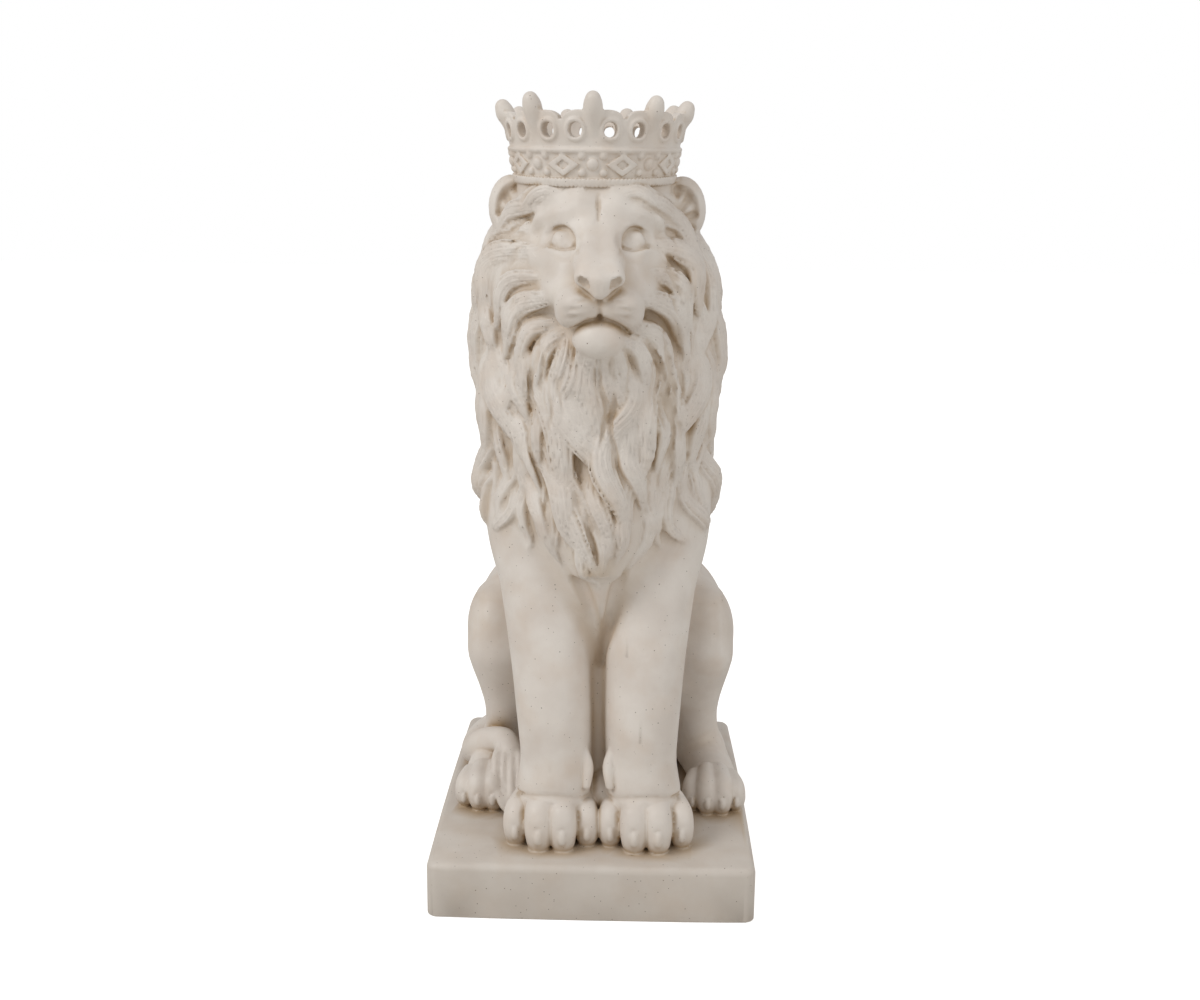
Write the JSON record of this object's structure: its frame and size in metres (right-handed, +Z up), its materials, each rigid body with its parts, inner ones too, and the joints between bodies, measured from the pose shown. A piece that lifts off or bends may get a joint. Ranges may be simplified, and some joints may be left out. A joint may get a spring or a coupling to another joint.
{
  "type": "crowned lion sculpture",
  "caption": "Seated lion statuette with a full mane and an openwork crown, cast in one with its rectangular plinth; stands as an ornament or bookend.",
  "frame": {"origin": "middle of the plinth's underside", "axes": "+Z up through the crown; the lion looks along -Y; +X is on the lion's left"},
  "size_m": [0.1444, 0.1833, 0.3467],
  "materials": {
    "sand_resin": "cream cast resin loaded with stone powder, satin, with sparse dark specks and ochre in the hollows"
  },
  "bodies": {
    "root": {"crowned_lion": "sand_resin"}
  },
  "joints": []
}
